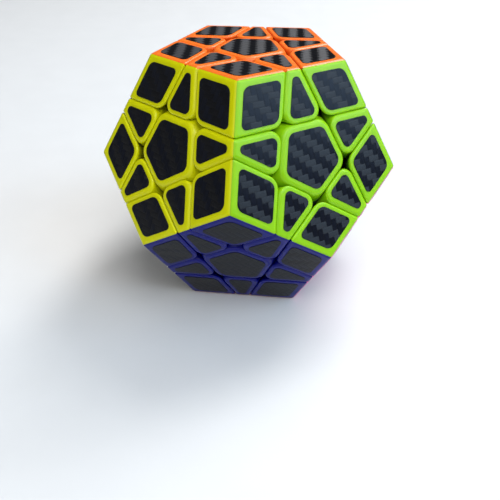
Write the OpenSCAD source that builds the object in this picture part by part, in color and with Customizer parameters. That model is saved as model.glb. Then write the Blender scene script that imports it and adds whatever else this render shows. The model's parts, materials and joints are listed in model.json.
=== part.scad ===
// Twelve-colour dodecahedron twisty puzzle with three turning layers modelled as joints.
// The origin is the centre of the core. +Z is the axis of the orange face, and -Y is the front.
// Pieces meet on planes near the surface, and on cones and spheres about the face axes deeper in,
// so every layer boundary is a surface of revolution and a layer turns freely at any angle.

/* [Puzzle] */
// Length of one edge of the dodecahedron
edge_len = 34; // [33:0.5:37]
// Share of an edge that one corner piece takes
cut_share = 0.44; // [0.425:0.005:0.445]
// Open gap between neighbouring pieces
gap = 0.24; // [0.2:0.02:0.36]

/* [Shells] */
// Wall of the hollow coloured shells
wall = 1.4; // [1.2:0.1:1.6]
// Depth cut off the blunt upright edges where four pieces meet
chamfer = 0.8; // [0.5:0.1:0.8]
// Depth taken off the outer edges of the dodecahedron
edge_blunt = 0.3; // [0.1:0.05:0.4]
// Depth taken off the outer corners of the dodecahedron
corner_blunt = 0.45; // [0.3:0.05:0.6]
// Thickness of the top of the pentagonal centre caps
cap_t = 1.8; // [1.5:0.1:2]
// Height of the centre caps with their skirt
cap_h = 3.4; // [3:0.1:3.8]

/* [Films] */
// Thickness of the carbon-pattern film patches
film_t = 0.15; // [0.1:0.05:0.2]
// Border of bare plastic between a film patch and the sides where its piece meets others
film_margin = 1.65; // [1.5:0.05:2]
// Border of bare plastic between a film patch and the edge of its face
ridge_margin = 2; // [1.8:0.05:2.2]

/* [Screws and springs] */
// Radius of the screw shanks
screw_r = 1.5; // [1.3:0.1:1.6]
// Radius of the screw heads
head_r = 3; // [2.8:0.1:3.1]
// Diameter of the spring wire
wire_d = 0.6; // [0.5:0.05:0.7]

/* [Hidden] */
$fn = 48;

// ---- the dodecahedron ----
colours = ["orange", "grey", "light_blue", "purple", "yellow", "lime",
           "red", "white", "blue", "pink", "beige", "green"];
paints = ["#ff7a34", "#8d9094", "#5cc4ee", "#6a35a8", "#d8d400", "#97e01f",
          "#d4202a", "#f2f2ee", "#252c8f", "#f06aa6", "#f2e6b4", "#0f7a38"];
ring_tilt = acos(1/sqrt(5));
face_r = edge_len*sqrt((25 + 11*sqrt(5))/10)/2;
face_in_r = edge_len/(2*tan(36));
reach = 3*edge_len;

function ring(az) = [sin(ring_tilt)*cos(az), sin(ring_tilt)*sin(az), cos(ring_tilt)];
function upper(f) = f == 0 ? [0, 0, 1] : ring(18 + 72*(f - 1));
function normal(f) = f < 6 ? upper(f) : -upper(f - 6);
function unit(v) = v/norm(v);
function touching(f, g) = f != g && normal(f)*normal(g) > 0.4;

corners = [for (i = [0:11], j = [i + 1:1:11], k = [j + 1:1:11])
           if (touching(i, j) && touching(j, k) && touching(i, k)) [i, j, k]];
edges = [for (i = [0:11], j = [i + 1:1:11]) if (touching(i, j)) [i, j]];
function end_faces(e) = [for (f = [0:11]) if (touching(f, e[0]) && touching(f, e[1])) f];
function neighbours(f) = [for (g = [0:11]) if (touching(f, g)) g];
function middle(piece) = unit([for (axis = [0:2]) [for (f = piece) 1]*[for (f = piece) normal(f)[axis]]]);

// ---- the three layers that turn; every other piece stays with the core ----
turning = [4, 1, 6];
fixed = -1;
function home(piece) = [for (f = piece) if (len(search(f, turning)) > 0) f];
function in_body(piece, body) = body == fixed ? home(piece) == [] : home(piece) == [body];
function part_of(pieces, body) = [for (p = pieces) if (in_body(p, body)) p];
function centres_of(body) = [for (f = [0:11]) if (in_body([f], body)) f];

// ---- the surfaces between pieces ----
cut_h = face_r - cut_share*edge_len*sin(72)*sin(ring_tilt);
cut_in_r = (cut_h - face_r*cos(ring_tilt))/sin(ring_tilt);
near_cone = 42;
foot_cone = 50;
hub_cone = 12.9;
cone_gap = 0.35;
shell_r = cut_h/cos(near_cone);
foot_top_r = 0.735*edge_len;
foot_base_r = 0.632*edge_len;
sphere_gap = 0.15;

// ---- the core, hubs, screws and springs ----
core_r = 0.35*edge_len;
post_r = 0.1*edge_len;
post_top = 0.588*edge_len;
hub_base = post_top + 0.2;
hub_floor = hub_base + 1.6;
hub_bore_r = screw_r + 0.3;
well_r = head_r + 0.6;
cup_r = 0.265*edge_len;
cup_floor = 0.81*edge_len;
rotor_cone = 32;
rotor_top = face_r - cap_h;
clip_t = 0.7;
clip_depth = 2;
lap = 1;
edge_stalk_r = 0.12*edge_len;
edge_pocket_r = 0.076*edge_len;
pocket_floor = 1;
plug_t = 2.5;
screw_tip = 0.23*edge_len;
head_base = hub_floor + 5.5;
head_t = 1.8;
recess_w = 0.8;
recess_len = 2.5*recess_w;
recess_depth = 1;
washer_t = 0.5;
washer_r = head_r + 0.3;
washer_bore_r = screw_r + 0.2;
spring_turns = 4;
spring_steps = 9;
spring_mean_r = screw_r + 1.2;
loose = 0.05;

// ---- rounded corners of the film patches ----
film_steps = 3;
arc_share = 0.45;
blunt_r = 2.5;
sharp_r = 1.2;
edge_film_r = 1.5;
centre_film_r = 2.3;

// ---- helpers ----
function azimuth(v) = norm([v[0], v[1]]) < 0.001 ? 0 : atan2(v[1], v[0]);

module along(v) {
    rotate([0, acos(v[2]/norm(v)), azimuth(v)]) children();
}

// Everything whose distance along the unit direction v is at least d
module beyond(v, d) {
    along(v) translate([-reach, -reach, d]) cube([2*reach, 2*reach, reach]);
}

// The common part of half-spaces, each given as [direction, least distance along it]
module cut_block(sides) {
    intersection_for (s = sides) beyond(s[0], s[1]);
}

module cone_about(f, half_angle) {
    along(normal(f)) cylinder(r1 = 0, r2 = reach*tan(half_angle), h = reach);
}

function inside_face(f, inset = 0) = [-normal(f), -(face_r - inset)];
function in_layer(f, inset = 0) = [normal(f), cut_h + gap/2 + inset];
function out_of_layer(f, inset = 0) = [-normal(f), -(cut_h - gap/2 - inset)];
function nearer(f, g) = [unit(normal(f) - normal(g)), 0];

// Takes the upright edge off between two sides of a piece
function trim(a, b, depth) =
    let (v = a[0] + b[0])
    [unit(v), (a[1] + b[1])/norm(v) + depth];

// Takes off the outer edge or corner where the faces of a piece meet
function blunted(piece, depth) =
    let (m = middle(piece))
    [-m, -(face_r/(m*normal(piece[0])) - depth)];

// ---- coloured shells ----
module corner_shell(f, piece) {
    others = [for (g = piece) if (g != f) g];
    sides = [for (g = others) in_layer(g)];
    difference() {
        cut_block(concat(
            sides,
            [for (g = others) nearer(f, g)],
            [for (g = others) blunted([f, g], edge_blunt)],
            [inside_face(f), trim(sides[0], sides[1], chamfer)],
            [blunted(piece, corner_blunt), [middle(piece), shell_r]]
        ));
        cut_block(concat([for (g = others) in_layer(g, wall)], [inside_face(f, wall)]));
    }
}

module edge_shell(f, piece) {
    other = piece[0] == f ? piece[1] : piece[0];
    ends = end_faces(piece);
    inner = in_layer(other);
    difference() {
        cut_block(concat(
            [inner, inside_face(f), nearer(f, other)],
            [blunted(piece, edge_blunt), [middle(piece), shell_r]],
            [for (g = ends) out_of_layer(g)],
            [for (g = ends) trim(inner, out_of_layer(g), 2*chamfer)]
        ));
        cut_block(concat(
            [in_layer(other, wall), inside_face(f, wall)],
            [for (g = ends) out_of_layer(g, wall)]
        ));
    }
}

// All the shells of one colour in one body
module shells(f, body) {
    color(paints[f]) {
        for (p = part_of(corners, body)) if (len(search(f, p)) > 0) corner_shell(f, p);
        for (p = part_of(edges, body)) if (len(search(f, p)) > 0) edge_shell(f, p);
    }
}

// ---- feet: the plug that closes a shell, the stalk and the foot that slides under its neighbours ----
module foot_cap(piece) {
    difference() {
        intersection() {
            sphere(r = foot_top_r - sphere_gap);
            intersection_for (f = piece) cone_about(f, foot_cone - cone_gap);
        }
        sphere(r = foot_base_r + sphere_gap);
    }
}

module corner_foot(piece) {
    v = middle(piece);
    foot_cap(piece);
    difference() {
        intersection() {
            along(v) cylinder(r = shell_r, h = shell_r);
            intersection_for (f = piece) cone_about(f, near_cone - cone_gap);
        }
        sphere(r = foot_top_r - lap);
    }
    cut_block(concat(
        [for (f = piece) in_layer(f, wall)],
        [[v, shell_r], [-v, -(shell_r + plug_t)]]
    ));
}

module edge_foot(piece) {
    v = middle(piece);
    ends = end_faces(piece);
    difference() {
        union() {
            difference() {
                union() {
                    foot_cap(piece);
                    along(v) translate([0, 0, foot_top_r - lap])
                        cylinder(r = edge_stalk_r, h = shell_r - foot_top_r + lap);
                }
                for (f = ends) cone_about(f, foot_cone + cone_gap);
            }
            cut_block(concat(
                [for (f = piece) in_layer(f, wall)],
                [for (f = ends) out_of_layer(f, wall)],
                [[v, shell_r], [-v, -(shell_r + plug_t)]]
            ));
        }
        along(v) translate([0, 0, foot_top_r + pocket_floor]) cylinder(r = edge_pocket_r, h = reach);
    }
}

module corner_feet(body) {
    color("#24262a") for (p = part_of(corners, body)) corner_foot(p);
}

module edge_feet(body) {
    color("#2c2e33") for (p = part_of(edges, body)) edge_foot(p);
}

// ---- centres ----
// The five sides of a centre, with the upright edges between them trimmed
function centre_sides(f) =
    let (around = neighbours(f))
    concat(
        [for (g = around) out_of_layer(g)],
        [for (g = around, k = around)
            if (g < k && touching(g, k)) trim(out_of_layer(g), out_of_layer(k), chamfer)]
    );

module centre_cap(f) {
    color(paints[f]) {
        difference() {
            union() {
                cut_block(concat(centre_sides(f), [inside_face(f), [normal(f), rotor_top]]));
                along(normal(f)) translate([0, 0, rotor_top - clip_depth])
                    cylinder(r = cup_r - loose, h = clip_depth + lap);
            }
            along(normal(f)) translate([0, 0, rotor_top - clip_depth - lap])
                cylinder(r = cup_r - clip_t, h = cap_h - cap_t + clip_depth + lap);
        }
    }
}

module rotor(f) {
    color("#35373c") difference() {
        union() {
            difference() {
                intersection() {
                    cut_block(concat(centre_sides(f), [[-normal(f), -rotor_top]]));
                    cone_about(f, rotor_cone);
                }
                for (g = neighbours(f)) cone_about(g, near_cone + cone_gap);
                sphere(r = foot_top_r + sphere_gap);
            }
            along(normal(f)) translate([0, 0, hub_base]) cylinder(
                r1 = hub_base*tan(hub_cone),
                r2 = (foot_top_r + lap)*tan(hub_cone),
                h = foot_top_r + lap - hub_base
            );
        }
        along(normal(f)) {
            cylinder(r = hub_bore_r, h = rotor_top);
            translate([0, 0, hub_floor]) cylinder(r = well_r, h = rotor_top);
            translate([0, 0, cup_floor]) cylinder(r = cup_r, h = rotor_top);
        }
    }
}

// ---- the core and what fastens the rotors to it ----
module core() {
    color("#e9e9e4") difference() {
        union() {
            sphere(r = core_r);
            for (f = [0:11]) along(normal(f)) cylinder(r = post_r, h = post_top);
        }
        for (f = [0:11]) along(normal(f)) translate([0, 0, screw_tip]) cylinder(r = screw_r, h = post_top);
    }
}

module screws() {
    color("#b9bcc2") for (f = [0:11]) along(normal(f)) difference() {
        union() {
            translate([0, 0, screw_tip]) cylinder(r = screw_r, h = head_base + head_t/2 - screw_tip);
            translate([0, 0, head_base]) cylinder(r = head_r, h = head_t);
        }
        for (turn = [0, 90]) rotate([0, 0, turn])
            translate([-recess_len/2, -recess_w/2, head_base + head_t - recess_depth])
                cube([recess_len, recess_w, 2*recess_depth]);
    }
}

module washers() {
    color("#d5d2c4") for (f = [0:11]) along(normal(f)) translate([0, 0, head_base - washer_t]) difference() {
        cylinder(r = washer_r, h = washer_t);
        translate([0, 0, -lap]) cylinder(r = washer_bore_r, h = washer_t + 2*lap);
    }
}

// A coil of square wire that sits between the hub floor and the washer
module spring() {
    low = hub_floor + loose + wire_d/2;
    high = head_base - washer_t - loose - wire_d/2;
    steps = spring_turns*spring_steps;
    half = wire_d/2;
    section = [[-half, -half], [half, -half], [half, half], [-half, half]];
    points = [for (i = [0:steps], s = section)
        let (turn = 360*i/spring_steps, r = spring_mean_r + s[0])
        [r*cos(turn), r*sin(turn), low + (high - low)*i/steps + s[1]]];
    sides = [for (i = [0:steps - 1], k = [0:3])
        let (a = 4*i + k, b = 4*i + (k + 1)%4)
        [a, a + 4, b + 4, b]];
    ends = [[0, 1, 2, 3], [4*steps + 3, 4*steps + 2, 4*steps + 1, 4*steps]];
    polyhedron(points, concat(sides, ends), convexity = 8);
}

module springs() {
    color("#c9ccd2") for (f = [0:11]) along(normal(f)) spring();
}

// ---- film patches, drawn in the plane of a face ----
film_near = cut_in_r + gap/2/sin(ring_tilt) + film_margin;
film_far = face_in_r - ridge_margin;
film_side = cut_in_r - gap/2/sin(ring_tilt) - film_margin;

// Direction of a neighbouring face g as seen in the plane of face f
function bearing(f, g) =
    let (n = normal(f), az = azimuth(n), tilt = acos(n[2]), m = normal(g))
    atan2(m*[-sin(az), cos(az), 0], m*[cos(az)*cos(tilt), sin(az)*cos(tilt), -sin(tilt)]);

// Where the line at distance d1 in direction a1 meets the line at distance d2 in direction a2
function crossing(a1, d1, a2, d2) =
    [d1*sin(a2) - d2*sin(a1), d2*cos(a1) - d1*cos(a2)]/sin(a2 - a1);

// The points of an arc that replaces the corner p of an outline. Its radius is r, or less on short sides
function arc(p, before, after, r) =
    let (
        u = unit(before - p),
        w = unit(after - p),
        half = acos(u*w)/2,
        run = min([r/tan(half), arc_share*norm(before - p), arc_share*norm(after - p)]),
        centre = p + unit(u + w)*run/cos(half),
        start = p + u*run - centre,
        sweep = (180 - 2*half)*sign(cross(w, u))
    )
    [for (i = [0:film_steps])
        let (t = sweep*i/film_steps)
        centre + [start[0]*cos(t) - start[1]*sin(t), start[0]*sin(t) + start[1]*cos(t)]];

module patch(f, points, radii) {
    n = len(points);
    outline = [for (i = [0:n - 1], q = arc(points[i], points[(i + n - 1)%n], points[(i + 1)%n], radii[i])) q];
    along(normal(f)) translate([0, 0, face_r]) linear_extrude(film_t) polygon(outline);
}

module centre_patch(f) {
    first = bearing(f, neighbours(f)[0]);
    points = [for (k = [0:4]) let (a = first + 72*k) crossing(a, film_side, a + 72, film_side)];
    patch(f, points, [for (p = points) centre_film_r]);
}

module edge_patch(f, other) {
    a = bearing(f, other);
    patch(
        f,
        [
            crossing(a, film_far, a - 72, film_side),
            crossing(a, film_far, a + 72, film_side),
            crossing(a, film_near, a + 72, film_side),
            crossing(a, film_near, a - 72, film_side)
        ],
        [sharp_r, sharp_r, edge_film_r, edge_film_r]
    );
}

module corner_patch(f, others) {
    a = bearing(f, others[0]);
    b = bearing(f, others[1]);
    patch(
        f,
        [
            crossing(a, film_far, b, film_far),
            crossing(a, film_near, b, film_far),
            crossing(a, film_near, b, film_near),
            crossing(a, film_far, b, film_near)
        ],
        [blunt_r, sharp_r, blunt_r, sharp_r]
    );
}

module films(body) {
    color("#1b1c20") {
        for (f = centres_of(body)) centre_patch(f);
        for (p = part_of(edges, body), f = p) edge_patch(f, p[0] == f ? p[1] : p[0]);
        for (p = part_of(corners, body), f = p) corner_patch(f, [for (g = p) if (g != f) g]);
    }
}

module moving_part(t, what) {
    if (what == "cap") centre_cap(t);
    if (what == "rotor") rotor(t);
    if (what == "corner_feet") corner_feet(t);
    if (what == "edge_feet") edge_feet(t);
    if (what == "films") films(t);
}

core();
screws();
springs();
washers();
for (f = centres_of(fixed)) rotor(f);  // rotors
corner_feet(fixed);
edge_feet(fixed);
films(fixed);
for (f = centres_of(fixed)) {
    centre_cap(f);
    shells(f, fixed);
}
for (t = turning) {
    for (what = ["cap", "rotor", "corner_feet", "edge_feet", "films"])
        moving_part(t, what);
    for (f = concat([t], neighbours(t)))
        shells(f, t);
}
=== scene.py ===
"""Looks of the dodecahedron twisty puzzle: moulded shells, woven film patches, studio and camera."""
import json
import math
import random

import bmesh
import bpy
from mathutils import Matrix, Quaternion, Vector


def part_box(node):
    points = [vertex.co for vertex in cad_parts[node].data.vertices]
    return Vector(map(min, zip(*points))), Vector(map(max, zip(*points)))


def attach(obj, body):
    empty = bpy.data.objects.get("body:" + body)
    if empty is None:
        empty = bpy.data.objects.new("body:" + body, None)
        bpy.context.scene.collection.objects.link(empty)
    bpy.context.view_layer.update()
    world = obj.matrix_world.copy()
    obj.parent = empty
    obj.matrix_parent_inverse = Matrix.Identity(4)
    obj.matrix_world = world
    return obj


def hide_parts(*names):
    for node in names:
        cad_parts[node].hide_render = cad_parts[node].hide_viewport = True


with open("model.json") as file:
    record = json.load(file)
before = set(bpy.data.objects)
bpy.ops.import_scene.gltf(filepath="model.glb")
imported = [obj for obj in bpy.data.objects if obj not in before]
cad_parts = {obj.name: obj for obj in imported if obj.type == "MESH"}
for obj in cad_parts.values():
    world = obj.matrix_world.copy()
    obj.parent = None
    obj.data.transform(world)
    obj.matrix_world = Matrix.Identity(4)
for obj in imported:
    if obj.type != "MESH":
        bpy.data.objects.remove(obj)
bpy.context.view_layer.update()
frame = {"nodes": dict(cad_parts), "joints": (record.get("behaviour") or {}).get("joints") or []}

MM = 0.001
FIXED_BODY = "core_and_fixed_layers"
MERGE_DIST = 1e-8
CUT_TOLERANCE = 1e-7
NEIGHBOUR_DOT = 0.4                           # normals of neighbouring faces have a dot product of 0.447
SAME_DOT = 0.999                              # two unit vectors count as equal above this dot product

# ---- sizes, worked out from the frame ----
FACE_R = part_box("cap_orange")[1].z            # centre of the puzzle to a bare plastic face
FILM_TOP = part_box("films")[1].z               # centre of the puzzle to the outside of a film
FLOOR_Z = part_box("red_layer_films")[0].z
RING_TILT = math.acos(1 / math.sqrt(5))       # angle between the axes of neighbouring faces
EDGE = 2 * FACE_R / math.sqrt((25 + 11 * math.sqrt(5)) / 10)
FACE_IN_R = EDGE / (2 * math.tan(math.radians(36)))    # from the middle of a face to the middle of an edge
FACE_OUT_R = FACE_IN_R / math.cos(math.radians(36))
VERTEX_TILT = math.acos(FACE_R / math.hypot(FACE_R, FACE_OUT_R))

# ---- the cuts between the pieces, as in the CAD model ----
CUT_SHARE = 0.44                              # share of an edge that a corner piece takes
SEAM = 0.06 * MM                              # gap between shells, finer than the clearance of the CAD model
NEAR_CONE = math.radians(42)
CUT_H = FACE_R - CUT_SHARE * EDGE * math.sin(math.radians(72)) * math.sin(RING_TILT)
CUT_IN_R = (CUT_H - FACE_R * math.cos(RING_TILT)) / math.sin(RING_TILT)
HALF_SEAM = SEAM / 2 / math.sin(RING_TILT)
SHELL_R = CUT_H / math.cos(NEAR_CONE)
WALL = 1.4 * MM
CAP_H = 3.4 * MM
CAP_T = 1.8 * MM
CLIP_R = 0.265 * EDGE - 0.05 * MM             # the clip ring fits loosely in its rotor's cup
CLIP_T = 0.7 * MM
CLIP_DEPTH = 2 * MM
BELOW_CUT = 0.4 * MM                          # how far a shell is drawn past the plane that ends it
CAVITY_CORNER = 0.5 * MM
CAVITY_STEPS = 2
OPEN_SIDE = 3 * MM                            # how far a cavity runs out past a ridge, to leave it open

# ---- roundings of the moulded shells ----
SHOULDER = 0.9 * MM                           # width of the rounding between a face and a cut side
SHOULDER_STEPS = 6
BLUNT_CORNER = 4.1 * MM                       # between two sides of one kind, on corner pieces and caps
SHARP_CORNER = 3.1 * MM                       # between the inner side and an end of an edge piece
NOTCH_CORNER = 0.35 * MM                      # where a ridge meets a cut
CORNER_STEPS = 8
NOTCH_STEPS = 3
BALL_STEPS = 6
ARC_SHARE = 0.45                              # the most of a side that one rounded corner takes

# ---- film patches ----
FILM_T = FILM_TOP - FACE_R
FILM_MARGIN = 1.65 * MM                       # bare plastic beside a cut
RIDGE_MARGIN = 2.0 * MM                       # bare plastic beside a ridge
FILM_LIP = 0.05 * MM
LIP_SHARE = 0.3                               # how far over its rounded lip the middle ring of a film lies
BLUNT_FILM = 2.5 * MM                         # corner radii
SHARP_FILM = 1.2 * MM
EDGE_FILM = 1.5 * MM
CENTRE_FILM = 2.3 * MM
FILM_CORNER_STEPS = 6
TOW = 1.66 * MM                               # width of one woven band

# ---- the twelve faces ----
# The upper six with their azimuths in degrees, and the lower six with the faces opposite them
UPPER = {"orange": None, "grey": 18, "light_blue": 90, "purple": 162, "yellow": 234, "lime": 306}
LOWER = {"red": "orange", "white": "grey", "blue": "light_blue", "pink": "purple", "beige": "yellow",
         "green": "lime"}


class Face:
    """One face: its colour, its outward normal and the two directions of its plane."""

    def __init__(self, name, normal):
        self.name = name
        self.normal = normal
        azimuth = 0.0 if math.hypot(normal.x, normal.y) < 1e-6 else math.atan2(normal.y, normal.x)
        tilt = math.acos(normal.z)
        self.down = Vector((
            math.cos(azimuth) * math.cos(tilt),
            math.sin(azimuth) * math.cos(tilt),
            -math.sin(tilt),
        ))
        self.side = Vector((-math.sin(azimuth), math.cos(azimuth), 0))

    def point(self, x, y, depth=0.0):
        return self.normal * (FACE_R - depth) + self.down * x + self.side * y

    def bearing(self, other):
        """Direction of a neighbouring face, seen in this face's plane."""
        return math.atan2(other.normal.dot(self.side), other.normal.dot(self.down))

    def touches(self, other):
        return self is not other and self.normal.dot(other.normal) > NEIGHBOUR_DOT


def ring_direction(azimuth_deg):
    azimuth = math.radians(azimuth_deg)
    return Vector((
        math.sin(RING_TILT) * math.cos(azimuth),
        math.sin(RING_TILT) * math.sin(azimuth),
        math.cos(RING_TILT),
    ))


def make_faces():
    upper = {n: Vector((0, 0, 1)) if a is None else ring_direction(a) for n, a in UPPER.items()}
    faces = [Face(n, v) for n, v in upper.items()]
    return faces + [Face(n, -upper[opposite]) for n, opposite in LOWER.items()]


FACES = make_faces()
EDGES = [(f, g) for i, f in enumerate(FACES) for g in FACES[i + 1:] if f.touches(g)]
CORNERS = [
    (f, g, h) for f, g in EDGES for h in FACES[FACES.index(g) + 1:] if h.touches(f) and h.touches(g)
]


def body_of_faces(piece):
    """The CAD body that a piece with these faces belongs to."""
    for joint in frame["joints"]:
        if any(f.normal.dot(Vector(joint["axis"])) > SAME_DOT for f in piece):
            return joint["child"]
    return FIXED_BODY


def node_name(body, what, colour):
    """The CAD node that holds the caps or shells of one colour in one body."""
    if body == FIXED_BODY:
        return f"{what}_{colour}"
    return f"{body}_{what}" if what == "cap" else f"{body}_{what}_{colour}"


# ---- outlines in the plane of a face ----
# A side of a piece is (outward direction, kind). Its distance from the face's centre depends on the depth.
CUT_SLOPE = 1 / math.tan(RING_TILT)
RIDGE_SLOPE = FACE_IN_R / FACE_R
WALL_TURN = {"out": RING_TILT, "in": math.pi - RING_TILT}
SHOULDER_R = {kind: SHOULDER / math.tan(turn / 2) for kind, turn in WALL_TURN.items()}
SHOULDER_DEPTHS = [
    SHOULDER_R["in"] * (1 - math.cos(WALL_TURN["in"] * k / SHOULDER_STEPS)) for k in range(SHOULDER_STEPS + 1)
]
RIDGE_TURN = RING_TILT / 2
RIDGE_DEPTH = SHOULDER_DEPTHS[SHOULDER_STEPS // 2]    # the rounding of a ridge ends on one of these rings
RIDGE_R = RIDGE_DEPTH / (1 - math.cos(RIDGE_TURN))
BALL_DEPTH = RIDGE_R * (1 - math.cos(VERTEX_TILT))    # the rounding where three ridges meet goes this deep
SHELL_DEPTHS = sorted(SHOULDER_DEPTHS + [BALL_DEPTH, (BALL_DEPTH + RIDGE_DEPTH) / 2])


def sharp_side(kind, depth):
    """Distance of a side that has no rounding, measured along its outward direction."""
    if kind == "ridge":
        return FACE_IN_R - RIDGE_SLOPE * depth
    if kind == "out":
        return CUT_IN_R - HALF_SEAM + CUT_SLOPE * depth
    return -(CUT_IN_R + HALF_SEAM + CUT_SLOPE * depth)


def rounding(kind, depth):
    """How far a side draws in at this depth because of the rounding along its upper edge."""
    if kind == "ridge":
        radius, turn, setback = RIDGE_R, RIDGE_TURN, RIDGE_R * math.tan(RIDGE_TURN)
    else:
        radius, turn, setback = SHOULDER_R[kind], WALL_TURN[kind], SHOULDER
    if depth >= radius * (1 - math.cos(turn)) - 1e-9:
        return 0.0
    slope = {"ridge": -RIDGE_SLOPE, "out": CUT_SLOPE, "in": -CUT_SLOPE}[kind]
    reach = math.sqrt(max(radius ** 2 - (radius - depth) ** 2, 0.0))
    return slope * depth + setback - reach


def crossing(a, b):
    """Where two lines meet, each given as (direction, distance)."""
    (t1, d1), (t2, d2) = a, b
    s = math.sin(t2 - t1)
    return Vector(((d1 * math.sin(t2) - d2 * math.sin(t1)) / s, (d2 * math.cos(t1) - d1 * math.cos(t2)) / s))


def rounded_corner(corner, before, after, radius, steps, reach=None):
    """Points that replace a corner. before and after point along its two sides.

    The arc has its centre where a tangent arc of this radius would have it. reach, if given, is its real
    radius, and where that goes past the corner, the corner stays sharp.
    """
    half = before.angle(after) / 2
    tangent = min(radius / math.tan(half), ARC_SHARE * before.length, ARC_SHARE * after.length)
    radius = tangent * math.tan(half)
    inward = (before.normalized() + after.normalized()).normalized()
    centre = corner + inward * radius / math.sin(half)
    reach = max(reach or radius, radius)
    spread = math.asin(radius / reach) - half if reach > 0 else 0.0
    if spread <= 0.0:
        return [corner] * (steps + 1)
    angles = [spread * (2 * k / steps - 1) for k in range(steps + 1)]
    return [
        centre - reach * Vector((
            inward.x * math.cos(t) - inward.y * math.sin(t),
            inward.x * math.sin(t) + inward.y * math.cos(t),
        ))
        for t in angles
    ]


def rounded_outline(lines, radii, steps, reaches=None):
    """Points of a convex outline with rounded corners.

    lines are (direction, distance) in turning order. radii, steps and reaches are those of the corners, each
    between a line and the next.
    """
    count = len(lines)
    reaches = reaches or [None] * count
    corners = [crossing(lines[i], lines[(i + 1) % count]) for i in range(count)]
    points = []
    for i, corner in enumerate(corners):
        before = corners[i - 1] - corner
        after = corners[(i + 1) % count] - corner
        points += rounded_corner(corner, before, after, radii[i], steps[i], reaches[i])
    return points


def turning_order(sides):
    return sorted(sides, key=lambda side: side[0] % math.tau)


def corner_sides(face, piece):
    sides = []
    for other in piece:
        if other is not face:
            bearing = face.bearing(other)
            sides += [(bearing, "ridge"), (bearing + math.pi, "in")]
    return turning_order(sides)


def edge_sides(face, piece):
    other = piece[0] if piece[1] is face else piece[1]
    bearing = face.bearing(other)
    fifth = math.radians(72)
    return turning_order([
        (bearing, "ridge"), (bearing + math.pi, "in"), (bearing + fifth, "out"), (bearing - fifth, "out"),
    ])


def centre_sides(face):
    return turning_order([(face.bearing(g), "out") for g in FACES if face.touches(g)])


def shell_corner(a, b, depth):
    """Radius, number of steps and reach of the rounding between two sides at a depth."""
    pair = (a[1], b[1])
    if pair == ("ridge", "ridge"):
        below = min(depth, RIDGE_R)
        ball = math.sqrt(RIDGE_R ** 2 - (RIDGE_R - below) ** 2)
        inset = FACE_IN_R - RIDGE_R * math.tan(RIDGE_TURN)
        to_side = sharp_side("ridge", depth) - rounding("ridge", depth) - inset
        return max(to_side, 0.0), BALL_STEPS, ball
    if "ridge" in pair:
        return NOTCH_CORNER, NOTCH_STEPS, None
    radius = BLUNT_CORNER if a[1] == b[1] else SHARP_CORNER
    return radius - 0.5 * (rounding(a[1], depth) + rounding(b[1], depth)), CORNER_STEPS, None


def shell_ring(sides, depth):
    """Outline of a moulded piece at a depth below its face."""
    lines = [(angle, sharp_side(kind, depth) - rounding(kind, depth)) for angle, kind in sides]
    corners = [shell_corner(side, sides[(i + 1) % len(sides)], depth) for i, side in enumerate(sides)]
    radii, steps, reaches = zip(*corners)
    return rounded_outline(lines, radii, steps, reaches)


# ---- mesh building ----
def add_loft(bm, face, rings):
    """A closed solid through rings, each (outline, depth below the face), from the top one down."""
    loops = [[bm.verts.new(face.point(p.x, p.y, depth)) for p in outline] for outline, depth in rings]
    count = len(loops[0])
    bm.faces.new(loops[0])
    for upper, lower in zip(loops, loops[1:]):
        for k in range(count):
            bm.faces.new((upper[k], lower[k], lower[(k + 1) % count], upper[(k + 1) % count]))
    bm.faces.new(list(reversed(loops[-1])))


def cut_below(bm, direction, distance):
    """Removes what lies nearer the centre than a plane, and closes the cut."""
    cut = bmesh.ops.bisect_plane(
        bm, geom=bm.verts[:] + bm.edges[:] + bm.faces[:], dist=CUT_TOLERANCE,
        plane_co=direction * distance, plane_no=direction, clear_inner=True,
    )
    edges = [e for e in cut["geom_cut"] if isinstance(e, bmesh.types.BMEdge)]
    bmesh.ops.holes_fill(bm, edges=edges, sides=0)


def join_into(target, source):
    """Adds everything in one bmesh to another."""
    mesh = bpy.data.meshes.new("join")
    source.to_mesh(mesh)
    target.from_mesh(mesh)
    bpy.data.meshes.remove(mesh)
    source.free()


def new_object(name, bm):
    bmesh.ops.remove_doubles(bm, verts=bm.verts, dist=MERGE_DIST)
    bmesh.ops.recalc_face_normals(bm, faces=bm.faces)
    mesh = bpy.data.meshes.new(name)
    bm.to_mesh(mesh)
    bm.free()
    obj = bpy.data.objects.new(name, mesh)
    bpy.context.scene.collection.objects.link(obj)
    return obj


def apply_boolean(obj, tool, operation):
    """Cuts or joins with another object, which is then removed."""
    modifier = obj.modifiers.new("boolean", "BOOLEAN")
    modifier.operation = operation
    modifier.solver = "EXACT"
    modifier.object = tool
    with bpy.context.temp_override(object=obj, active_object=obj, selected_objects=[obj]):
        bpy.ops.object.modifier_apply(modifier=modifier.name)
    bpy.data.objects.remove(tool)


def finish_surface(obj, material, sharp_deg=30):
    """Smooth shading with sharp creases kept, and flat faces kept flat."""
    obj.data.materials.clear()
    obj.data.materials.append(material)
    obj.data.shade_smooth()
    obj.data.set_sharp_from_angle(angle=math.radians(sharp_deg))
    weighted = obj.modifiers.new("weighted", "WEIGHTED_NORMAL")
    weighted.keep_sharp = True
    with bpy.context.temp_override(object=obj, active_object=obj, selected_objects=[obj]):
        bpy.ops.object.modifier_apply(modifier=weighted.name)


def middle(piece):
    return sum((f.normal for f in piece), Vector()).normalized()


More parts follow.
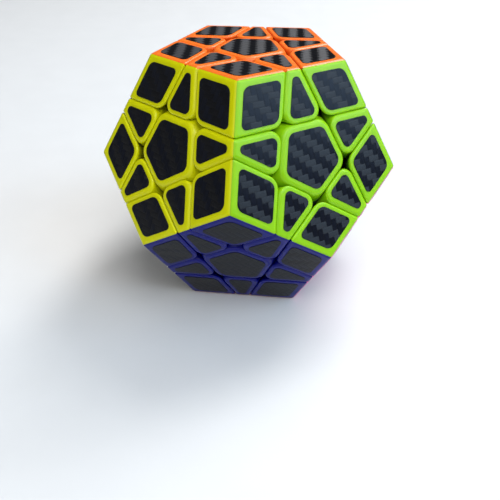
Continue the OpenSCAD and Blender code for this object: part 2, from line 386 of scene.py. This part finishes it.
# ---- the pieces ----
def build_shells(colour, body):
    """All the corner and edge shells of one colour in one body, hollow as in the CAD model."""
    face = next(f for f in FACES if f.name == colour)
    outer = bmesh.new()
    cavities = bmesh.new()
    for pieces, sides_of, tilt in ((CORNERS, corner_sides, VERTEX_TILT), (EDGES, edge_sides, RING_TILT / 2)):
        bottom = FACE_R - SHELL_R * math.cos(tilt) + BELOW_CUT
        for piece in pieces:
            if face not in piece or body_of_faces(piece) != body:
                continue
            sides = sides_of(face, piece)
            solid = bmesh.new()
            add_loft(solid, face, [(shell_ring(sides, d), d) for d in SHELL_DEPTHS + [bottom]])
            cut_below(solid, middle(piece), SHELL_R)
            join_into(outer, solid)
            add_loft(cavities, face, [(cavity_ring(sides, d), d) for d in (WALL, bottom + MM)])
    name = node_name(body, "shells", colour)
    shells = new_object(f"{name}_moulded", outer)
    apply_boolean(shells, new_object("cavities", cavities), "DIFFERENCE")
    finish_surface(shells, plastic(colour))
    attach(shells, body)
    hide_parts(name)


def cavity_ring(sides, depth):
    """The inside of a shell: a wall in from its cut sides, and open towards its other colours."""
    lines = [
        (angle, sharp_side(kind, depth) + (OPEN_SIDE if kind == "ridge" else -WALL / math.sin(RING_TILT)))
        for angle, kind in sides
    ]
    return rounded_outline(lines, [CAVITY_CORNER] * len(lines), [CAVITY_STEPS] * len(lines))


def add_cylinder(bm, face, radius, low, high, segments=64):
    """A cylinder about a face's axis, between two distances from the centre of the puzzle."""
    angles = [math.tau * k / segments for k in range(segments)]
    circle = [Vector((radius * math.cos(t), radius * math.sin(t))) for t in angles]
    add_loft(bm, face, [(circle, FACE_R - high), (circle, FACE_R - low)])


def build_cap(face):
    """A pentagonal centre cap with its skirt and the clip ring under it."""
    body = body_of_faces([face])
    bm = bmesh.new()
    sides = centre_sides(face)
    add_loft(bm, face, [(shell_ring(sides, d), d) for d in SHOULDER_DEPTHS + [CAP_H]])
    name = node_name(body, "cap", face.name)
    cap = new_object(f"{name}_moulded", bm)
    base = FACE_R - CAP_H
    clip = bmesh.new()
    add_cylinder(clip, face, CLIP_R, base - CLIP_DEPTH, base + MM)
    apply_boolean(cap, new_object("clip", clip), "UNION")
    hollow = bmesh.new()
    add_cylinder(hollow, face, CLIP_R - CLIP_T, base - CLIP_DEPTH - MM, FACE_R - CAP_T)
    apply_boolean(cap, new_object("hollow", hollow), "DIFFERENCE")
    finish_surface(cap, plastic(face.name))
    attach(cap, body)
    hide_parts(name)


# How far each kind of side of a film patch lies from the middle of its face
FILM_SIDES = {
    "ridge": FACE_IN_R - RIDGE_MARGIN,
    "in": -(CUT_IN_R + HALF_SEAM + FILM_MARGIN),
    "out": CUT_IN_R - HALF_SEAM - FILM_MARGIN,
}


def film_corner(kinds):
    """Radius of a film patch's corner between two kinds of side."""
    if kinds == {"out"}:
        return CENTRE_FILM
    if kinds == {"in", "out"}:
        return EDGE_FILM
    return SHARP_FILM if len(kinds) == 2 else BLUNT_FILM


def film_ring(sides, inset):
    """Outline of a film patch, drawn in from its full size by inset."""
    lines = [(angle, FILM_SIDES[kind] - inset) for angle, kind in sides]
    count = len(sides)
    radii = [film_corner({sides[i][1], sides[(i + 1) % count][1]}) - inset for i in range(count)]
    return rounded_outline(lines, radii, [FILM_CORNER_STEPS] * count)


WEAVE_TURN = {"orange": 49, "blue": 45}       # how far the weave is turned on some faces, in degrees
WEAVE_SCATTER = 3                             # degrees either way, from patch to patch
WEAVE_REPEAT = 4                              # bands in one repeat of the twill
WEAVE_UV = "weave"
placing = random.Random(5)


def add_film(bm, face, sides):
    """One film patch with a rounded lip, and its weave coordinates."""
    before = len(bm.verts)
    lip = LIP_SHARE * FILM_LIP
    levels = ((FILM_LIP, FILM_T), (lip, FILM_T - lip), (0.0, FILM_T - FILM_LIP), (0.0, 0.0))
    add_loft(bm, face, [(film_ring(sides, inset), -height) for inset, height in levels])
    bm.verts.ensure_lookup_table()
    uv = bm.loops.layers.uv.verify()
    turn = math.radians(WEAVE_TURN.get(face.name, 0) + placing.uniform(-WEAVE_SCATTER, WEAVE_SCATTER))
    shift = Vector((placing.uniform(0, WEAVE_REPEAT), placing.uniform(0, WEAVE_REPEAT)))
    for vert in bm.verts[before:]:
        x = vert.co.dot(face.down)
        y = vert.co.dot(face.side)
        along = Vector((x * math.cos(turn) + y * math.sin(turn), y * math.cos(turn) - x * math.sin(turn)))
        for loop in vert.link_loops:
            loop[uv].uv = along / TOW + shift


def build_films(body):
    bm = bmesh.new()
    bm.loops.layers.uv.new(WEAVE_UV)
    for face in FACES:
        if body_of_faces([face]) == body:
            add_film(bm, face, centre_sides(face))
    for pieces, sides_of in ((EDGES, edge_sides), (CORNERS, corner_sides)):
        for piece in pieces:
            if body_of_faces(piece) == body:
                for face in piece:
                    add_film(bm, face, sides_of(face, piece))
    node = "films" if body == FIXED_BODY else f"{body}_films"
    films = new_object(f"{node}_woven", bm)
    finish_surface(films, woven_film())
    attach(films, body)
    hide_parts(node)


# ---- materials ----
class Shader:
    """Builds one node material around a Principled shader."""

    def __init__(self, name):
        self.material = bpy.data.materials.new(name)
        self.material.use_nodes = True
        self.tree = self.material.node_tree
        self.tree.nodes.clear()
        self.surface = self.tree.nodes.new("ShaderNodeBsdfPrincipled")
        output = self.tree.nodes.new("ShaderNodeOutputMaterial")
        self.tree.links.new(self.surface.outputs[0], output.inputs["Surface"])

    def plug(self, value, socket):
        if isinstance(value, bpy.types.NodeSocket):
            self.tree.links.new(value, socket)
        elif value is not None:
            socket.default_value = value

    def math(self, operation, a, b=None, c=None):
        node = self.tree.nodes.new("ShaderNodeMath")
        node.operation = operation
        for value, socket in zip((a, b, c), node.inputs):
            self.plug(value, socket)
        return node.outputs[0]

    def mix(self, factor, a, b, kind="RGBA"):
        node = self.tree.nodes.new("ShaderNodeMix")
        node.data_type = kind
        sockets = [s for s in node.inputs if s.enabled]
        for value, socket in zip((factor, a, b), sockets):
            self.plug(value, socket)
        return next(s for s in node.outputs if s.enabled)

    def noise(self, vector, scale, detail=2.0, roughness=0.5):
        node = self.tree.nodes.new("ShaderNodeTexNoise")
        self.plug(vector, node.inputs["Vector"])
        self.plug(scale, node.inputs["Scale"])
        self.plug(detail, node.inputs["Detail"])
        self.plug(roughness, node.inputs["Roughness"])
        return node.outputs["Fac"]

    def vector(self, x, y, z):
        node = self.tree.nodes.new("ShaderNodeCombineXYZ")
        for value, socket in zip((x, y, z), node.inputs):
            self.plug(value, socket)
        return node.outputs[0]

    def dice(self, vector):
        """One random number for each value of a vector."""
        node = self.tree.nodes.new("ShaderNodeTexWhiteNoise")
        self.plug(vector, node.inputs["Vector"])
        return node.outputs["Value"]

    def spread(self, value, low, high):
        """Maps 0..1 to low..high."""
        node = self.tree.nodes.new("ShaderNodeMapRange")
        self.plug(value, node.inputs["Value"])
        node.inputs["To Min"].default_value = low
        node.inputs["To Max"].default_value = high
        return node.outputs["Result"]

    def bump(self, height, distance, strength=1.0):
        node = self.tree.nodes.new("ShaderNodeBump")
        self.plug(height, node.inputs["Height"])
        node.inputs["Distance"].default_value = distance
        node.inputs["Strength"].default_value = strength
        self.tree.links.new(node.outputs["Normal"], self.surface.inputs["Normal"])

    def place(self):
        """Object coordinates, in metres."""
        return self.tree.nodes.new("ShaderNodeTexCoord").outputs["Object"]

    def set(self, **values):
        for name, value in values.items():
            self.plug(value, self.surface.inputs[name.replace("_", " ").title()])


def srgb(*screen):
    """A colour given as screen values from 0 to 255."""
    steep = [((c / 255 + 0.055) / 1.055) ** 2.4 for c in screen]
    straight = [c / 255 / 12.92 for c in screen]
    return tuple(steep[k] if screen[k] > 10 else straight[k] for k in range(3)) + (1.0,)


def darker(colour, share):
    return tuple(share * c for c in colour[:3]) + (1.0,)


# the weft colour is the film's own near-black with a painted bluish sheen, lighter than the warp, standing in
# for the window light those bands reflect
FILM_WEFT_AND_SHEEN = srgb(14, 18, 30)
FILM_WARP = srgb(10, 11, 16)
# painted shade: the near-black colour the film fades to where its woven bands dip, and in its darker random
# stretches
FILM_DARK_TONE_AND_DIP_SHADE = srgb(4, 4, 6)
PLASTIC_COLOURS = {
    "orange": srgb(226, 106, 28),
    "grey": srgb(128, 132, 138),
    "light_blue": srgb(70, 180, 232),
    "purple": srgb(98, 44, 158),
    "yellow": srgb(208, 210, 0),
    "lime": srgb(139, 193, 10),
    "red": srgb(206, 22, 30),
    "white": srgb(236, 236, 232),
    "blue": srgb(2, 8, 114),
    "pink": srgb(240, 92, 158),
    "beige": srgb(240, 224, 168),
    "green": srgb(8, 112, 48),
}
CLOUD_SCALE = 180.0                           # noise cells per metre
GRAIN_SCALE = 7000.0
INNER_GRAIN_SCALE = 3000.0
SCRATCH_SCALE = 4000.0
PLASTIC_GRAIN = 0.006 * MM                    # bump heights
INNER_GRAIN = 0.01 * MM
SCRATCH = 0.004 * MM
WEAVE_RELIEF = 0.03 * MM
PLASTIC_SPECULAR = 0.26
PLASTIC_GLOW = 0.6                            # share of the light that spreads inside the coloured plastic
GLOW_DEPTH = 1.1 * MM
FILM_SPECULAR = 0.29
FILM_ANISOTROPY = 0.9
made_materials = {}


def plastic(colour):
    """Satin moulded plastic: a faint unevenness in colour and gloss, and a fine moulded grain."""
    if colour in made_materials:
        return made_materials[colour]
    shader = Shader(f"{colour}_plastic")
    place = shader.place()
    cloud = shader.noise(place, CLOUD_SCALE, 3.0)
    grain = shader.noise(place, GRAIN_SCALE, 2.0, 0.6)
    base = PLASTIC_COLOURS[colour]
    shader.set(
        Base_Color=shader.mix(cloud, darker(base, 0.93), base),
        Roughness=shader.math("ADD", shader.spread(cloud, 0.30, 0.38), shader.spread(grain, -0.03, 0.03)),
    )
    shader.surface.inputs["Specular IOR Level"].default_value = PLASTIC_SPECULAR
    shader.surface.inputs["Subsurface Weight"].default_value = PLASTIC_GLOW
    shader.surface.inputs["Subsurface Radius"].default_value = (1.0, 1.0, 1.0)
    shader.surface.inputs["Subsurface Scale"].default_value = GLOW_DEPTH
    shader.bump(grain, PLASTIC_GRAIN)
    made_materials[colour] = shader.material
    return shader.material


def woven_film():
    """Dark film embossed as a two-by-two twill: bands that run both ways, over two and under two."""
    if "film" in made_materials:
        return made_materials["film"]
    shader = Shader("woven_film")
    uv = shader.tree.nodes.new("ShaderNodeUVMap")
    uv.uv_map = WEAVE_UV
    tangent = shader.tree.nodes.new("ShaderNodeTangent")
    tangent.direction_type = "UV_MAP"
    tangent.uv_map = WEAVE_UV
    parts = shader.tree.nodes.new("ShaderNodeSeparateXYZ")
    shader.plug(uv.outputs[0], parts.inputs[0])
    u, v = parts.outputs[0], parts.outputs[1]
    column = shader.math("FLOOR", u)
    row = shader.math("FLOOR", v)
    warp = shader.math("ADD", shader.math("SUBTRACT", v, column), 1.0)
    weft = shader.math("SUBTRACT", shader.math("SUBTRACT", u, row), 2.0)
    warp_run = shader.math("FLOORED_MODULO", warp, WEAVE_REPEAT)
    weft_run = shader.math("FLOORED_MODULO", weft, WEAVE_REPEAT)
    warp_over = shader.math("LESS_THAN", warp_run, WEAVE_REPEAT / 2)

    def band_height(across, run):
        """A band is crowned across its width and arched along the stretch that shows."""
        offset = shader.math("MULTIPLY", shader.math("SUBTRACT", shader.math("FRACT", across), 0.5), 2.0)
        crown = shader.math("SUBTRACT", 1.0, shader.math("POWER", shader.math("ABSOLUTE", offset), 4.0))
        arch = shader.math("SINE", shader.math("MULTIPLY", run, math.pi / 2))
        return shader.math("MULTIPLY", crown, shader.math("MULTIPLY_ADD", arch, 0.3, 0.7))

    def streaks(across, along):
        """Coordinates in which noise is drawn out along the fibres."""
        return shader.vector(shader.math("MULTIPLY", across, 9.0), shader.math("MULTIPLY", along, 0.8), 0.0)

    height = shader.mix(warp_over, band_height(v, weft_run), band_height(u, warp_run), "FLOAT")
    fibre = shader.noise(shader.mix(warp_over, streaks(v, u), streaks(u, v), "VECTOR"), 1.0, 3.0, 0.65)
    stretch = shader.mix(
        warp_over,
        shader.vector(row, shader.math("FLOOR", shader.math("DIVIDE", weft, WEAVE_REPEAT)), 0.0),
        shader.vector(column, shader.math("FLOOR", shader.math("DIVIDE", warp, WEAVE_REPEAT)), 7.0),
        "VECTOR",
    )
    chance = shader.dice(stretch)
    tone = shader.math("MULTIPLY", shader.spread(fibre, 0.6, 1.0), shader.spread(chance, 0.7, 1.0))
    # painted shade: the base colour darkens where the bands dip, across their edges and towards the ends of
    # each stretch, on top of the random tone of the fibres
    tone_and_dip_shade = shader.math("MULTIPLY", tone, shader.spread(height, 0.4, 1.0))
    # painted sheen: the weft bands take the lighter, bluish colour, the warp bands the darker one
    shader.set(
        Base_Color=shader.mix(tone_and_dip_shade, FILM_DARK_TONE_AND_DIP_SHADE, shader.mix(warp_over, FILM_WEFT_AND_SHEEN, FILM_WARP)),
        Roughness=shader.spread(fibre, 0.32, 0.42),
        Anisotropic_Rotation=shader.mix(warp_over, 0.25, 0.0, "FLOAT"),
        Tangent=tangent.outputs[0],
    )
    shader.surface.inputs["Anisotropic"].default_value = FILM_ANISOTROPY
    shader.surface.inputs["Specular IOR Level"].default_value = FILM_SPECULAR
    shader.bump(shader.math("MULTIPLY_ADD", fibre, 0.1, height), WEAVE_RELIEF)
    made_materials["film"] = shader.material
    return shader.material


def inner_plastic(name, colour):
    shader = Shader(name)
    place = shader.place()
    grain = shader.noise(place, INNER_GRAIN_SCALE, 3.0, 0.6)
    shader.set(
        Base_Color=shader.mix(grain, darker(colour, 0.8), colour),
        Roughness=shader.spread(grain, 0.42, 0.6),
    )
    shader.bump(grain, INNER_GRAIN)
    return shader.material


def steel(name, colour):
    shader = Shader(name)
    place = shader.place()
    scratch = shader.noise(place, SCRATCH_SCALE, 4.0, 0.7)
    shader.set(Base_Color=colour, Roughness=shader.spread(scratch, 0.22, 0.4))
    shader.surface.inputs["Metallic"].default_value = 1.0
    shader.bump(scratch, SCRATCH)
    return shader.material


def finish_inner_nodes():
    """Gives the hidden CAD nodes that stay as they are their own finishes."""
    looks = {
        "feet": inner_plastic("foot_plastic", srgb(40, 42, 46)),
        "rotor": inner_plastic("rotor_plastic", srgb(56, 58, 64)),
        "rotors": inner_plastic("rotors_plastic", srgb(56, 58, 64)),
        "core": inner_plastic("core_plastic", srgb(232, 232, 226)),
        "screws": steel("screw_steel", srgb(186, 188, 194)),
        "springs": steel("spring_steel", srgb(204, 206, 212)),
        "washers": steel("washer_steel", srgb(214, 208, 192)),
    }
    for name, node in frame["nodes"].items():
        for ending, material in looks.items():
            if name.endswith(ending):
                node.data.materials.clear()
                node.data.materials.append(material)


# ---- studio ----
CAMERA_AZIMUTH = math.radians(6.6)
CAMERA_ELEVATION = math.radians(36.25)
CAMERA_ROLL = math.radians(-0.2)
CAMERA_DISTANCE = 5.95 * EDGE
CAMERA_AIM = Vector((-0.006, 0, -1.055)) * EDGE
CAMERA_LENS = 39.1
WORLD_STRENGTH = 0.09
FLOOR_HALF = 60 * EDGE


def add_camera():
    back = Vector((
        math.sin(CAMERA_AZIMUTH) * math.cos(CAMERA_ELEVATION),
        -math.cos(CAMERA_AZIMUTH) * math.cos(CAMERA_ELEVATION),
        math.sin(CAMERA_ELEVATION),
    ))
    data = bpy.data.cameras.new("camera")
    data.lens = CAMERA_LENS
    data.sensor_width = 36
    data.clip_start = 0.01
    camera = bpy.data.objects.new("camera", data)
    bpy.context.scene.collection.objects.link(camera)
    camera.location = CAMERA_AIM + back * CAMERA_DISTANCE
    camera.rotation_mode = "QUATERNION"
    roll = Quaternion((0, 0, 1), CAMERA_ROLL)
    camera.rotation_quaternion = (-back).to_track_quat("-Z", "Y") @ roll
    bpy.context.scene.camera = camera


def add_soft_light(name, place, size, power, colour=(1, 1, 1)):
    """A square area light that faces the puzzle. place and size are in edge lengths."""
    data = bpy.data.lights.new(name, "AREA")
    data.shape = "SQUARE"
    data.size = size * EDGE
    data.energy = power
    data.color = colour
    light = bpy.data.objects.new(name, data)
    bpy.context.scene.collection.objects.link(light)
    light.location = Vector(place) * EDGE
    light.rotation_mode = "QUATERNION"
    light.rotation_quaternion = (-light.location).to_track_quat("-Z", "Y")


def add_studio():
    world = bpy.data.worlds.new("studio")
    world.use_nodes = True
    background = world.node_tree.nodes["Background"]
    background.inputs["Color"].default_value = (0.93, 0.96, 1.0, 1.0)
    background.inputs["Strength"].default_value = WORLD_STRENGTH
    bpy.context.scene.world = world
    bpy.context.scene.view_settings.view_transform = "Standard"
    add_lights()
    add_floor()


def add_lights():
    add_soft_light("key", (14, -20, 36), 24, 12.5)
    add_soft_light("ceiling", (4, 8, 40), 30, 5.0)
    add_soft_light("front", (-10, -29, 26), 24, 4.6)
    add_soft_light("back", (14, 22, 30), 18, 17.0)
    add_soft_light("window", (31, -7, 23), 24, 11.5, (0.46, 0.70, 1.0))


def add_floor():
    shader = Shader("floor_paint")
    speckle = shader.noise(shader.place(), 60.0, 4.0)
    shader.set(
        Base_Color=shader.mix(speckle, srgb(198, 198, 197), srgb(204, 204, 203)),
        Roughness=shader.spread(speckle, 0.55, 0.65),
    )
    bm = bmesh.new()
    turns = ((-1, -1), (1, -1), (1, 1), (-1, 1))
    bm.faces.new([bm.verts.new((x * FLOOR_HALF, y * FLOOR_HALF, FLOOR_Z)) for x, y in turns])
    floor = new_object("floor", bm)
    floor.data.materials.append(shader.material)


def main():
    add_camera()
    add_studio()
    bodies = [FIXED_BODY] + [joint["child"] for joint in frame["joints"]]
    for face in FACES:
        build_cap(face)
        for body in bodies:
            if node_name(body, "shells", face.name) in frame["nodes"]:
                build_shells(face.name, body)
    for body in bodies:
        build_films(body)
    finish_inner_nodes()


main()
